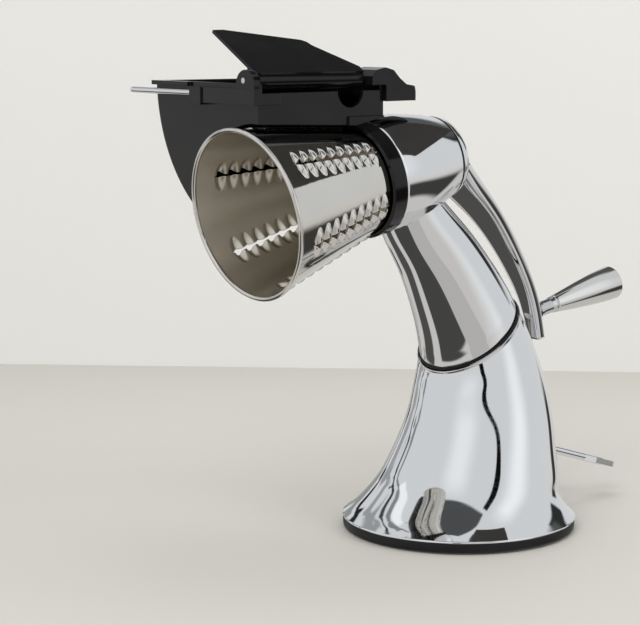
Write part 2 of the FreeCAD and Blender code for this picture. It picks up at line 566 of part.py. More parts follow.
# Crank: domed hub and arm in one piece. Arm sections are along, up, width, thickness.
hub = spun([(0, val("cap_crown_at")), (10, 11.6), (18, 13.2), (23, 16.4),
            (val("barrel_rear_radius"), val("barrel_rear_at") - val("cap_gap"))], mouth_frame, curved=True)
arm_path = [(-15, -6, 40, 8), (-4, -22, 36, 9), (11, -42, 28, 8), (23, -62, 22, 7.5), (33, -84, 18, 7),
            (40.5, -108, 14, 6.5), (43, -132, 11, 6)]


def rounded_wire(centre, wide, thick_dir, width, thickness):
    corner = thickness * 0.42
    spots = []
    for sy, st in ((1, 1), (-1, 1), (-1, -1), (1, -1)):
        spots.append((sy * (width / 2 - corner), st * (thickness / 2 - corner), sy, st))
    edges = []
    last_end = None
    first_start = None
    for i, (y, t, sy, st) in enumerate(spots):
        mid = centre + wide * (y + sy * corner * 0.7071) + thick_dir * (t + st * corner * 0.7071)
        a = centre + wide * (y + sy * corner) + thick_dir * t
        b = centre + wide * y + thick_dir * (t + st * corner)
        start, stop = (a, b) if i % 2 == 0 else (b, a)
        if last_end is not None:
            edges.append(Part.makeLine(last_end, start))
        else:
            first_start = start
        edges.append(Part.Arc(start, mid, stop).toShape())
        last_end = stop
    edges.append(Part.makeLine(last_end, first_start))
    return Part.Wire(edges)


spots = [axis_point + axis_dir * s + axis_up * w for s, w, _, _ in arm_path]
wires = []
for i, (s, w, width, thickness) in enumerate(arm_path):
    ahead = spots[min(i + 1, len(spots) - 1)] - spots[max(i - 1, 0)]
    ahead.normalize()
    wires.append(rounded_wire(spots[i], across, ahead.cross(across), width, thickness))
arm = Part.makeLoft(wires, True, False)
rear_side = spun([(200, -120), (200, val("barrel_rear_at") - val("cap_gap"))], mouth_frame)
arm = union([hub, arm.common(rear_side)])
arm = arm.cut(rod(on_axis(0), toward_mouth, val("shaft_radius"), 40))
arm = arm.cut(rod(on_axis(val("nut_seat_at")), axis_dir, val("nut_radius") + 0.6, 12))
grip_base = axis_point - axis_up * val("crank_reach")
arm = arm.cut(rod(grip_base + axis_dir * 20, axis_dir, val("spindle_radius"), 60))
feature("crank_arm", arm)
nut = spun([(4.5, val("nut_seat_at") - val("nut_height")), (7.2, val("nut_seat_at") - 4.5),
            (val("nut_radius"), val("nut_seat_at") - 2.5), (val("nut_radius"), val("nut_seat_at"))], mouth_frame)
nut = nut.cut(rod(on_axis(val("shaft_rear_at")), toward_mouth, val("shaft_radius"), 20))
feature("crank_nut", nut)
turned("handle_spindle", [("0", "spindle_foot"), ("spindle_radius", "spindle_foot"),
                          ("spindle_radius", "collar_start"), ("spindle_collar", "collar_start"),
                          ("collar_waist", "collar_start + 3"), ("collar_waist", "grip_start - 4"),
                          ("spindle_collar", "grip_start - 1"), ("spindle_collar", "grip_start - 0.2"),
                          ("spindle_radius", "grip_start - 0.2"),
                          ("spindle_radius", "spindle_end"), ("0", "spindle_end")], grip_frame)
grip_end = val("grip_start") + val("grip_length")
grip_rise = val("grip_large") - val("grip_small")
grip = spun([(val("grip_small") - 0.5, val("grip_start")), (val("grip_small"), val("grip_start") + 0.6),
             (val("grip_small") + grip_rise * 0.36, val("grip_start") + 15),
             (val("grip_small") + grip_rise * 0.67, val("grip_start") + 30),
             (val("grip_large") - 0.5, grip_end - 8), (val("grip_large"), grip_end - 2.5),
             (val("grip_large") - 0.3, grip_end - 0.8), (val("grip_large") - 1.2, grip_end),
             (0, grip_end)], grip_frame)
grip = grip.cut(rod(grip_base + axis_dir * (val("grip_start") - 5), axis_dir,
                    val("spindle_radius") + val("grip_clearance"), val("spindle_end") + 5.2 - val("grip_start")))
feature("handle_grip", grip)

# Suction lever: a cam on its cross shaft lowers a framed stud when the lever is lifted
half_swing = math.radians(val("lever_swing") / 2)
pivot = Vector(val("cam_throw") * (1 + math.cos(half_swing)) / 2, 0, val("pivot_z"))
cam_centre = pivot + Vector(-val("cam_throw") * math.cos(half_swing), 0, val("cam_throw") * math.sin(half_swing))
tip = Vector(val("lever_tip_x"), 0, val("lever_tip_z"))
lever_dir = tip - pivot
lever_long = lever_dir.Length
lever_dir.normalize()
lever_up = Vector(-lever_dir.z, 0, lever_dir.x)
hub_half = val("lever_hub_half")
lever = union([rod(pivot - across * hub_half, across, val("lever_hub_radius"), 2 * hub_half),
               rod(pivot, lever_dir, val("lever_rod_radius"), lever_long - 12)])
pad_start = pivot + lever_dir * (lever_long - val("lever_pad_length"))
half_pad = val("lever_pad_half")
half_thick = val("lever_pad_thickness") / 2
pad_points = []
for reach, y in ((0, 2.4), (8, half_pad - 1), (val("lever_pad_length") - half_pad, half_pad),
                 (val("lever_pad_length") - 2, half_pad - 3), (val("lever_pad_length"), 0)):
    pad_points.append((reach, y))
pad_points += [(reach, -y) for reach, y in reversed(pad_points[:-1])]
pad_corners = [pad_start + lever_dir * reach + across * y - lever_up * half_thick for reach, y in pad_points]
lever = union([lever, polygon_prism(pad_corners, lever_up * (2 * half_thick))])
lever = lever.cut(rod(pivot - across * 20, across, val("lever_shaft_radius"), 40))
feature("suction_lever", lever)
shaft_half = val("lever_shaft_half")
cam_width = val("cam_far_y") - val("cam_near_y")
cam_shaft = union([rod(pivot - across * shaft_half, across, val("lever_shaft_radius"), 2 * shaft_half),
                   rod(cam_centre + across * val("cam_near_y"), across, val("cam_radius"), cam_width)])
feature("lever_shaft", cam_shaft)
cheek = val("bracket_thickness")
half_bracket = val("bracket_half")
cheeks = []
for side in (-1, 1):
    y0 = half_bracket if side > 0 else -half_bracket - cheek
    cheeks.append(box(pivot.x - val("bracket_width") / 2, pivot.x + val("bracket_width") / 2, y0, y0 + cheek,
                      plate_high, plate_high + val("bracket_height")))
floor = box(pivot.x - val("bracket_width") / 2, pivot.x + val("bracket_width") / 2, -half_bracket - cheek,
            half_bracket + cheek, plate_high, plate_high + cheek)
bracket = union(cheeks + [floor])
bracket = bracket.cut(rod(pivot - across * 30, across, val("lever_shaft_radius") + val("shaft_clearance"), 60))
bracket = bracket.cut(rod(Vector(0, 0, 0), up, val("stud_radius") + val("shaft_clearance"), 30))
feature("lever_bracket", bracket)
window_high = val("cam_radius") + val("yoke_gap")
window_wide = val("cam_radius") + val("yoke_side_gap")
frame_edge = val("yoke_frame")
near, far = val("cam_near_y"), val("cam_far_y")
yoke = box(-window_wide - frame_edge, window_wide + frame_edge, near, far, cam_centre.z - window_high - frame_edge,
           cam_centre.z + window_high + frame_edge)
yoke = yoke.cut(box(-window_wide, window_wide, near - 1, far + 1, cam_centre.z - window_high,
                    cam_centre.z + window_high))
foot_z = val("yoke_foot_z")
foot_top = foot_z + val("yoke_foot_height")
yoke = union([yoke, box(-6, 6, near, far, foot_z, cam_centre.z - window_high - 1),
              box(-6, 6, -6, far, foot_z, foot_top)])
stud_low = val("membrane_centre_z") + val("membrane_thickness")
stud = union([rod(Vector(0, 0, stud_low), up, val("stud_radius"), foot_top - stud_low),
              rod(Vector(0, 0, stud_low), up, val("stud_flange_radius"),
                  plate_low - val("stud_flange_gap") - stud_low)])
feature("lift_yoke", yoke.cut(stud))
feature("lift_stud", stud)

doc.recompute()
for obj in doc.Objects:
    if "Invalid" in obj.State or "Error" in obj.State:
        raise RuntimeError("Feature failed: " + obj.Label)
facets = 0
for obj in subparts:
    if obj.Shape.isNull() or not obj.Shape.isValid():
        raise RuntimeError("Shape is not valid: " + obj.Label)
os.makedirs("parts", exist_ok=True)
for obj in subparts:
    obj.Shape.exportStep("parts/" + obj.Label + ".step")
    count = len(obj.Shape.tessellate(0.1)[1])
    facets += count
    print(obj.Label, len(obj.Shape.Solids), round(obj.Shape.Volume), count)
print("sub-parts", len(subparts), "facets", facets)
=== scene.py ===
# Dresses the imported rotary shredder: smooth chromed castings, a pierced cone, glossy black mouldings.
# The frame is in metres: the cone's mouth points to -X, the crank to +X, the hopper bulges to +Y.
import math
import bpy
import bmesh
import numpy as np
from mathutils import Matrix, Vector


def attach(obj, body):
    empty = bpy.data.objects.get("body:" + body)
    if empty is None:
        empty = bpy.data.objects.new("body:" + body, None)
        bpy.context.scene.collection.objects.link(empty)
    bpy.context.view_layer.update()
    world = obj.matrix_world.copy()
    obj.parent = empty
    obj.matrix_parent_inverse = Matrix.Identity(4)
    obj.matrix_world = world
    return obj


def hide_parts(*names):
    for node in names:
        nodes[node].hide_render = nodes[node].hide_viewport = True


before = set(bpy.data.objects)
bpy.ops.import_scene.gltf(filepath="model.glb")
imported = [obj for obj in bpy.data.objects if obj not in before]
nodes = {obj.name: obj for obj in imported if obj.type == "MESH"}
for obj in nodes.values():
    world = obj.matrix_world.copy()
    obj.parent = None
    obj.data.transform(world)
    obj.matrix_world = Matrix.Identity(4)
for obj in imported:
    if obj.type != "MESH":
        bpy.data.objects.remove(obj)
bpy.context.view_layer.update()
scene = bpy.context.scene
mm = 0.001

# Sizes below are in millimetres. The barrel's axis crosses the base axis at this height
# and rises towards the crank.
barrelAxis = {"height": 233.5, "tiltDeg": 10.37}
axisTilt = math.radians(barrelAxis["tiltDeg"])
axisBack = np.array([math.cos(axisTilt), 0.0, math.sin(axisTilt)])
axisUp = np.array([-math.sin(axisTilt), 0.0, math.cos(axisTilt)])
axisSide = np.array([0.0, 1.0, 0.0])
axisPoint = np.array([0.0, 0.0, barrelAxis["height"]])


# Surfaces
# Natural cubic spline through the knots, spaced by the distance between them: each span is the
# straight blend of its two knots plus the two end curvatures times their cubic bulges.
def splineRows(knots, positions):
    knots = np.asarray(knots, float)
    steps = np.linalg.norm(np.diff(knots[:, :2], axis=0), axis=1)
    at = np.concatenate([[0.0], np.cumsum(steps)])
    count = len(at)
    matrix = np.eye(count)
    right = np.zeros_like(knots)
    gap = np.diff(at)[:, None]
    inner = np.arange(1, count - 1)
    matrix[inner, inner - 1] = gap[:-1, 0]
    matrix[inner, inner] = 2 * (gap[:-1, 0] + gap[1:, 0])
    matrix[inner, inner + 1] = gap[1:, 0]
    right[1:-1] = 6 * ((knots[2:] - knots[1:-1]) / gap[1:] - (knots[1:-1] - knots[:-2]) / gap[:-1])
    curve = np.linalg.solve(matrix, right)
    where = np.interp(positions, np.arange(count), at)
    span = np.clip(np.searchsorted(at, where, side="right") - 1, 0, count - 2)
    width = gap[span]
    b = ((where - at[span]) / gap[span, 0])[:, None]
    a = 1 - b
    bulge = ((a ** 3 - a) * curve[span] + (b ** 3 - b) * curve[span + 1]) * width ** 2 / 6
    return a * knots[span] + b * knots[span + 1] + bulge


# Corners of a profile are rounded: each one becomes three points on the curve that starts a
# radius before it and ends a radius after it.
def softCorners(points, radius, closed=True):
    points = np.asarray(points, float)
    before = np.roll(points, 1, axis=0) - points
    after = np.roll(points, -1, axis=0) - points
    longBefore = np.maximum(np.linalg.norm(before, axis=1, keepdims=True), 1e-9)
    longAfter = np.maximum(np.linalg.norm(after, axis=1, keepdims=True), 1e-9)
    cut = np.minimum(radius, 0.4 * np.minimum(longBefore, longAfter))
    start = points + before / longBefore * cut
    stop = points + after / longAfter * cut
    middle = 0.25 * start + 0.5 * points + 0.25 * stop
    rows = np.stack([start, middle, stop], axis=1)
    if not closed:
        rows[0] = points[0]
        rows[-1] = points[-1]
    return rows.reshape(-1, 2)


# Grids of points [rows, columns, 3] become quads between neighbouring points; keepFace says which
# quads stay. Points that meet are merged and the faces are turned outwards.
def gridMesh(name, grids, closedColumns=True, keepFace=None):
    allPoints, allFaces = [], []
    start = 0
    for grid in grids:
        rows, columns = grid.shape[:2]
        number = np.arange(rows * columns).reshape(rows, columns) + start
        if closedColumns:
            number = np.hstack([number, number[:, :1]])
        quads = np.stack([number[:-1, :-1], number[:-1, 1:], number[1:, 1:], number[1:, :-1]], axis=-1)
        if keepFace is not None:
            quads = quads[keepFace]
        allPoints.append(grid.reshape(-1, 3))
        allFaces.append(quads.reshape(-1, 4))
        start += rows * columns
    points = np.concatenate(allPoints) * mm
    faces = np.concatenate(allFaces)
    mesh = bpy.data.meshes.new(name)
    mesh.vertices.add(len(points))
    mesh.vertices.foreach_set("co", points.astype(np.float32).ravel())
    mesh.loops.add(faces.size)
    mesh.loops.foreach_set("vertex_index", faces.astype(np.int32).ravel())
    mesh.polygons.add(len(faces))
    mesh.polygons.foreach_set("loop_start", np.arange(len(faces), dtype=np.int32) * 4)
    mesh.polygons.foreach_set("loop_total", np.full(len(faces), 4, dtype=np.int32))
    mesh.update(calc_edges=True)
    mesh.validate()
    build = bmesh.new()
    build.from_mesh(mesh)
    bmesh.ops.remove_doubles(build, verts=build.verts, dist=1e-6)
    bmesh.ops.recalc_face_normals(build, faces=build.faces)
    build.to_mesh(mesh)
    build.free()
    mesh.polygons.foreach_set("use_smooth", np.ones(len(mesh.polygons), dtype=bool))
    obj = bpy.data.objects.new(name, mesh)
    scene.collection.objects.link(obj)
    return obj


# A turned surface: every profile point (radius, distance along) sweeps a circle about the axis
def turnedGrid(profile, origin, along, out, side, columns):
    angle = np.linspace(0, 2 * math.pi, columns, endpoint=False)
    ring = np.cos(angle)[:, None] * out + np.sin(angle)[:, None] * side
    radius = profile[:, 0][:, None, None]
    distance = profile[:, 1][:, None, None]
    return origin + distance * along + radius * ring[None]


towardMouth = -axisBack


def barrelTurned(profile, columns=144):
    return turnedGrid(np.asarray(profile, float), axisPoint, towardMouth, axisUp, axisSide, columns)


# Shader groups and finishes
# Adds a node of one kind: each input takes a plain value or another node's output
def addNode(tree, kind, inputs=None, **settings):
    node = tree.nodes.new("ShaderNode" + kind)
    for setting, value in settings.items():
        setattr(node, setting, value)
    for socket, value in (inputs or {}).items():
        if isinstance(value, bpy.types.NodeSocket):
            tree.links.new(value, node.inputs[socket])
        else:
            node.inputs[socket].default_value = value
    return node


def newGroup(name, inputs, outputs):
    group = bpy.data.node_groups.new(name, "ShaderNodeTree")
    for label, value in inputs.items():
        socket = group.interface.new_socket(name=label, in_out="INPUT", socket_type="NodeSocketFloat")
        socket.default_value = value
    for label in outputs:
        group.interface.new_socket(name=label, in_out="OUTPUT", socket_type="NodeSocketFloat")
    return group, group.nodes.new("NodeGroupInput").outputs, group.nodes.new("NodeGroupOutput").inputs


# Stretches a noise's middle values over the roughness from Low to High
def roughnessBetween(group, given, value, least, most):
    return addNode(group, "MapRange", {
        "From Min": least, "From Max": most, "Value": value, "To Min": given["Low"],
        "To Max": given["High"]}).outputs["Result"]


def buildHandlingMarks():
    # Faint cloudy polish and thin wipe streaks change the roughness; fine waviness feeds the bump
    group, given, made = newGroup(
        "handlingMarks", {"Scale": 40.0, "Low": 0.04, "High": 0.09, "Waves": 12.0}, ["Roughness", "Height"])
    place = addNode(group, "TexCoord").outputs["Object"]
    cloud = addNode(group, "TexNoise", {"Vector": place, "Scale": given["Scale"], "Detail": 5.0})
    stretched = addNode(group, "Mapping", {"Vector": place, "Scale": (1.0, 1.0, 9.0)})
    streak = addNode(group, "TexNoise", {
        "Vector": stretched.outputs["Vector"], "Scale": 55.0, "Detail": 2.0})
    both = addNode(group, "Math", {0: cloud.outputs["Fac"], 1: streak.outputs["Fac"]}, operation="MULTIPLY")
    wave = addNode(group, "TexNoise", {"Vector": place, "Scale": given["Waves"], "Detail": 1.0})
    group.links.new(roughnessBetween(group, given, both.outputs["Value"], 0.12, 0.42), made["Roughness"])
    group.links.new(wave.outputs["Fac"], made["Height"])
    return group


def buildDrawnLines():
    # Fine lines run round the piece: noise squeezed along the barrel's axis
    group, given, made = newGroup(
        "drawnLines", {"Lines": 900.0, "Low": 0.12, "High": 0.3}, ["Roughness", "Height", "Tone"])
    place = addNode(group, "TexCoord").outputs["Object"]
    turned = addNode(group, "Mapping", {
        "Vector": place, "Rotation": (0.0, axisTilt, 0.0), "Scale": (1.0, 0.02, 0.02)})
    line = addNode(group, "TexNoise", {
        "Vector": turned.outputs["Vector"], "Scale": given["Lines"], "Detail": 3.0})
    blot = addNode(group, "TexNoise", {"Vector": place, "Scale": 30.0})
    group.links.new(roughnessBetween(group, given, line.outputs["Fac"], 0.3, 0.7), made["Roughness"])
    group.links.new(line.outputs["Fac"], made["Height"])
    group.links.new(blot.outputs["Fac"], made["Tone"])
    return group


def buildMouldGrain():
    # Fine moulded pebble for the height, and soft dusty clouds for the roughness
    group, given, made = newGroup(
        "mouldGrain", {"Grain": 900.0, "Low": 0.12, "High": 0.22}, ["Roughness", "Height", "Dust"])
    place = addNode(group, "TexCoord").outputs["Object"]
    pebble = addNode(group, "TexNoise", {"Vector": place, "Scale": given["Grain"], "Detail": 2.0})
    cloud = addNode(group, "TexNoise", {"Vector": place, "Scale": 35.0, "Detail": 6.0})
    dust = addNode(group, "MapRange", {"From Min": 0.45, "From Max": 0.8, "Value": cloud.outputs["Fac"]})
    group.links.new(roughnessBetween(group, given, cloud.outputs["Fac"], 0.3, 0.7), made["Roughness"])
    group.links.new(pebble.outputs["Fac"], made["Height"])
    group.links.new(dust.outputs["Result"], made["Dust"])
    return group


handlingMarks = buildHandlingMarks()
drawnLines = buildDrawnLines()
mouldGrain = buildMouldGrain()


def newMaterial(name):
    material = bpy.data.materials.new(name)
    material.use_nodes = True
    return material, material.node_tree, material.node_tree.nodes["Principled BSDF"]


# A finish takes its roughness and height from a group. With a tint, the group's mask blends the
# colour towards it. Rounded softens the edges in the shading, by a radius in metres.
def finish(name, group, values, color, tint=None, mask=None, metallic=0.0, bump=0.05,
           bumpDistance=0.0002, specular=0.5, rounded=0.0):
    material, tree, shader = newMaterial(name)
    shader.inputs["Metallic"].default_value = metallic
    shader.inputs["Specular IOR Level"].default_value = specular
    shader.inputs["Base Color"].default_value = (*color, 1.0)
    effect = addNode(tree, "Group", node_tree=group)
    for label, value in values.items():
        effect.inputs[label].default_value = value
    tree.links.new(effect.outputs["Roughness"], shader.inputs["Roughness"])
    if tint is not None:
        mix = addNode(tree, "Mix", {
            "Factor": effect.outputs[mask], "A": (*color, 1), "B": (*tint, 1)}, data_type="RGBA")
        tree.links.new(mix.outputs["Result"], shader.inputs["Base Color"])
    relief = addNode(tree, "Bump", {
        "Strength": bump, "Distance": bumpDistance, "Height": effect.outputs["Height"]})
    if rounded > 0:
        edge = addNode(tree, "Bevel", {"Radius": rounded}, samples=4)
        tree.links.new(edge.outputs["Normal"], relief.inputs["Normal"])
    tree.links.new(relief.outputs["Normal"], shader.inputs["Normal"])
    return material


chrome = finish("polishedChrome", handlingMarks, {"Scale": 30, "Low": 0.03, "High": 0.075, "Waves": 9},
                (0.83, 0.84, 0.86), metallic=1.0, bump=0.12, bumpDistance=0.0004)
brightSteel = finish("brightSteel", handlingMarks, {"Scale": 80, "Low": 0.1, "High": 0.24, "Waves": 60},
                     (0.68, 0.69, 0.7), metallic=1.0, bump=0.05)
zincSteel = finish("zincSteel", handlingMarks, {"Scale": 120, "Low": 0.28, "High": 0.45, "Waves": 300},
                   (0.6, 0.61, 0.62), metallic=1.0, bump=0.08)
coneOutside = finish("coneOutside", drawnLines, {"Lines": 1500, "Low": 0.035, "High": 0.085},
                     (0.8, 0.785, 0.755), (0.7, 0.68, 0.645), "Tone", metallic=1.0, bump=0.025,
                     bumpDistance=0.00005)
coneInside = finish("coneInside", drawnLines, {"Lines": 1100, "Low": 0.28, "High": 0.34}, (0.7, 0.66, 0.59),
                    (0.64, 0.595, 0.52), "Tone", metallic=1.0, bump=0.03, bumpDistance=0.00005)
blackPlastic = finish("blackPlastic", mouldGrain, {"Grain": 500, "Low": 0.06, "High": 0.14},
                      (0.004, 0.004, 0.0045), (0.009, 0.0088, 0.0086), "Dust", bump=0.03,
                      bumpDistance=0.0001, specular=0.32, rounded=0.0007)
gripMetal = finish("gripMetal", drawnLines, {"Lines": 900, "Low": 0.05, "High": 0.1}, (0.78, 0.78, 0.77),
                   (0.74, 0.735, 0.725), "Tone", metallic=1.0, bump=0.02, bumpDistance=0.00005)
softRubber = finish("softRubber", mouldGrain, {"Grain": 1400, "Low": 0.4, "High": 0.6},
                    (0.006, 0.006, 0.0065), (0.014, 0.0135, 0.013), "Dust", bump=0.2,
                    bumpDistance=0.0001, specular=0.3)
bearingPlastic = finish("bearingPlastic", mouldGrain, {"Grain": 800, "Low": 0.35, "High": 0.5},
                        (0.72, 0.71, 0.66), (0.6, 0.58, 0.53), "Dust", bump=0.08, bumpDistance=0.0001)
print("finishes made")

nodeFinish = {
    "base_screws": zincSteel, "base_plate": zincSteel, "lever_bracket": zincSteel, "lift_yoke": zincSteel,
    "lift_stud": brightSteel, "lever_shaft": brightSteel, "neck_bolts": zincSteel,
    "seam_gasket": softRubber,
    "hub_seal": softRubber, "base_ring": softRubber, "suction_diaphragm": softRubber,
    "front_bush": bearingPlastic, "rear_bush": bearingPlastic, "thrust_washer": bearingPlastic,
    "drive_disc": bearingPlastic, "drive_shaft": brightSteel, "drive_pins": brightSteel,
    "hopper_screw": brightSteel, "hinge_pin": brightSteel, "hopper_rod": chrome,
    "crank_nut": chrome, "handle_spindle": brightSteel, "suction_lever": chrome,
    "cone_end_plate": coneInside,
    "lower_housing": chrome, "head_housing": chrome, "crank_arm": chrome, "shredder_cone": coneOutside,
    "handle_grip": gripMetal,
}


def dress(obj, *materials):
    obj.data.materials.clear()
    for material in materials:
        obj.data.materials.append(material)


for name, node in nodes.items():
    dress(node, nodeFinish.get(name, blackPlastic))


def settle(piece, body, slotName, replaced, *materials):
    dress(piece, *materials)
    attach(piece, body)
    if replaced:
        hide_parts(*replaced)


# Column
# Circles carried up a leaning line: centre x, centre z, lean in degrees, radius
column = {
    "sections": [(0, 7.7, 0, 72.2), (0.8, 11.5, 0, 67.6), (2, 17, 0, 62.6), (4.5, 24, 0, 58.2),
                 (7.8, 30, 0, 56), (11.9, 44, 1, 51.7), (15, 61, 4, 47.4), (15.7, 76, 9, 43.9),
                 (12.3, 100, 22, 38.6), (6.3, 121.5, 38, 34), (-8.7, 153, 37.5, 28),
                 (-24, 175.5, 39, 24.1), (-38.5, 193, 42, 21.3), (-50, 210, 44, 19)],
    "jointSection": 9, "seamHalf": 0.6, "seamSpan": 24.0, "seamRadius": 34.0, "rimGrow": 0.9,
    "rimRound": 0.4, "rimStart": 0.14, "rimRun": 0.1, "rimEdge": 0.012,
    "armShrink": 0.5, "armFade": 0.25, "armLip": 0.63,
    "wall": 3.0, "slotHalf": 4.0, "slotLow": 38.0, "slotTop": 78.0, "columns": 150, "armColumns": 144,
}


# A section's circle lies in the plane that leans with it. The columns either side of the rear
# line keep slotHalf from it, so the lever's slot has straight sides.
def columnGrid(positions, columns, splitRear):
    rows = splineRows(column["sections"], positions)
    radius = rows[:, 3][:, None]
    lean = np.radians(rows[:, 2])[:, None]
    if splitRear:
        edge = np.arcsin(column["slotHalf"] / radius)
        run = np.linspace(0, 1, columns)[None]
        angle = edge + run * (2 * math.pi - 2 * edge)
    else:
        angle = np.repeat(np.linspace(0, 2 * math.pi, columns, endpoint=False)[None], len(rows), axis=0)
    x = rows[:, 0][:, None] + radius * np.cos(angle) * np.cos(lean)
    y = radius * np.sin(angle)
    z = rows[:, 1][:, None] + radius * np.cos(angle) * np.sin(lean)
    return np.stack([x, y, z], axis=-1)


jointAt = column["jointSection"]
seamShare = column["seamHalf"] / column["seamSpan"]
lowerRows = np.concatenate([np.linspace(0, 1, 8)[:-1], np.linspace(1, 5, 30)[:-1],
                            np.linspace(5, 8, 66)[:-1], np.linspace(8, jointAt - 0.15, 26)[:-1],
                            np.linspace(jointAt - 0.15, jointAt - seamShare, 24)])
lowerGrid = columnGrid(lowerRows, column["columns"], True)
# The column swells a little to the joint's rim, and the rim's edge is rounded off
rimRise = np.clip((lowerRows - jointAt + column["rimStart"]) / column["rimRun"], 0, 1)[:, None, None]
rimFall = np.clip((lowerRows - jointAt + seamShare) / column["rimEdge"] + 1, 0, 1)[:, None, None] ** 2
lowerCentre = lowerGrid.mean(axis=1, keepdims=True)
rimSwell = column["rimGrow"] * rimRise ** 2 * (3 - 2 * rimRise) - column["rimRound"] * rimFall
rimScale = rimSwell / column["seamRadius"]
lowerGrid = lowerCentre + (lowerGrid - lowerCentre) * (1 + rimScale)
heights = lowerGrid[:, 0, 2]
inSlot = (heights > column["slotLow"]) & (heights < column["slotTop"])
keep = np.ones((len(lowerRows) - 1, column["columns"]), dtype=bool)
keep[:, -1] = ~(inSlot[:-1] & inSlot[1:])
lowerSkin = gridMesh("columnBase", [lowerGrid], keepFace=keep)
wall = lowerSkin.modifiers.new("wall", "SOLIDIFY")
wall.thickness = column["wall"] * mm
wall.offset = -1.0
wall.use_even_offset = True
settle(lowerSkin, "stand", "chrome_body", ["lower_housing"], chrome)
print("column base")

# Arm and barrel in one casting
barrel = {
    "outline": [(25.1, 22.5), (27.6, 30), (31.5, 45), (33.5, 60), (33.5, 75)],
    "recess": [(31, 75), (31, 66), (26, 66), (26, 62.5), (9, 62.5), (9, 22.5)], "edge": 0.7,
}
armRows = np.linspace(jointAt + seamShare, 13, 90)
armGrid = columnGrid(armRows, column["armColumns"], False)
armCentre = armGrid.mean(axis=1, keepdims=True)
armFoot = np.clip(1 - (armRows - jointAt) / column["armFade"], 0, 1)[:, None, None]
armGrid = armCentre + (armGrid - armCentre) * (1 - column["armShrink"] * armFoot / column["seamRadius"])
# The casting turns in at its foot and closes on its centre line inside the barrel
armCentre = armGrid.mean(axis=1, keepdims=True)
armLip = armCentre[:1] + column["armLip"] * (armGrid[:1] - armCentre[:1])
armTop = np.repeat(armCentre[-1:], column["armColumns"], axis=1)
armGrid = np.concatenate([armLip, armGrid, armTop])
outerRun = splineRows(barrel["outline"], np.linspace(0, 4, 60))
ends = softCorners(np.vstack([outerRun[-1:], barrel["recess"], outerRun[:1]]), barrel["edge"])
barrelLine = np.vstack([outerRun[1:-1], ends])
barrelGrid = barrelTurned(np.vstack([barrelLine, barrelLine[:1]]), 168)
headSkin = gridMesh("armAndBarrel", [armGrid, barrelGrid])
settle(headSkin, "stand", "chrome_head", ["head_housing"], chrome)
print("arm and barrel")

# Cone
# A cone with raised teeth along six slots: a tooth is half an oval dome either side of its slot, its
# height falling with the squares of the distance along and beside, and the slot widens at each tooth.
cone = {
    "rearAt": 70.0, "frontAt": 166.0, "rearRadius": 27.4, "frontRadius": 48.4, "wall": 0.9, "bead": 1.4,
    "rows": 6, "phaseDeg": -8.5, "firstTooth": 91.0, "pitch": 7.4, "teeth": 9, "height": 2.2,
    "reach": 6.8, "toothHalf": 3.1, "fullness": 0.8, "slotHalf": 0.7, "slotWave": 1.3, "overrun": 4.0,
    "fade": 2.0, "closed": 0.05,
    # distances from a slot's edge where the mesh has a line, so that the teeth come out smooth
    "meshLines": [0, 0.35, 0.8, 1.4, 2.2, 3.2, 4.4, 5.6, 6.8, 7.8, 8.6, 9.4],
}


def coneRadius(at):
    share = (at - cone["rearAt"]) / (cone["frontAt"] - cone["rearAt"])
    return cone["rearRadius"] + share * (cone["frontRadius"] - cone["rearRadius"])


def buildCone():
    first = cone["firstTooth"]
    last = first + (cone["teeth"] - 1) * cone["pitch"]
    low, high = first - cone["overrun"], last + cone["overrun"]
    at = np.concatenate([np.linspace(cone["rearAt"], low, 12)[:-1], np.linspace(low, high, 132),
                         np.linspace(high, cone["frontAt"], 12)[1:]])
    radius = coneRadius(at)[:, None]
    wave = 0.5 + 0.5 * np.cos(2 * math.pi * (at - first) / cone["pitch"])
    fade = np.clip((at - low) / cone["fade"], 0, 1) * np.clip((high - at) / cone["fade"], 0, 1)
    slotHalf = ((cone["slotHalf"] + cone["slotWave"] * wave) * np.maximum(fade, cone["closed"]))[:, None]
    near = np.array(cone["meshLines"], float)
    sector = 2 * math.pi / cone["rows"]
    nearAngle = (slotHalf + near[None]) / radius
    share = np.linspace(0, 1, 6)[None, 1:]
    farAngle = nearAngle[:, -1:] + share * (sector / 2 - nearAngle[:, -1:])
    half = np.concatenate([nearAngle, farAngle], axis=1)
    across = np.concatenate([-half[:, ::-1][:, 1:], half], axis=1)
    count = across.shape[1]
    spacing = np.arange(cone["rows"]) * sector + math.radians(cone["phaseDeg"])
    angle = (across[:, None, :] + spacing[None, :, None]).reshape(len(at), -1)
    distance = np.abs(across) * radius
    offCrest = (at - first + cone["pitch"] / 2) % cone["pitch"] - cone["pitch"] / 2
    along = (offCrest / cone["toothHalf"])[:, None]
    beside = (distance - slotHalf) / cone["reach"]
    bump = cone["height"] * fade[:, None] * np.maximum(1 - along ** 2 - beside ** 2, 0) ** cone["fullness"]
    outTo = radius + np.tile(bump, (1, cone["rows"]))
    ring = np.cos(angle)[..., None] * axisUp - np.sin(angle)[..., None] * axisSide
    points = axisPoint + at[:, None, None] * towardMouth + outTo[..., None] * ring
    keepFaces = np.ones((len(at) - 1, count * cone["rows"]), dtype=bool)
    middle = count // 2 - 1
    slotted = (at[:-1] >= low - 0.01) & (at[1:] <= high + 0.01)
    for row in range(cone["rows"]):
        keepFaces[slotted, row * count + middle] = False
    return gridMesh("shreddingCone", [points], keepFace=keepFaces)


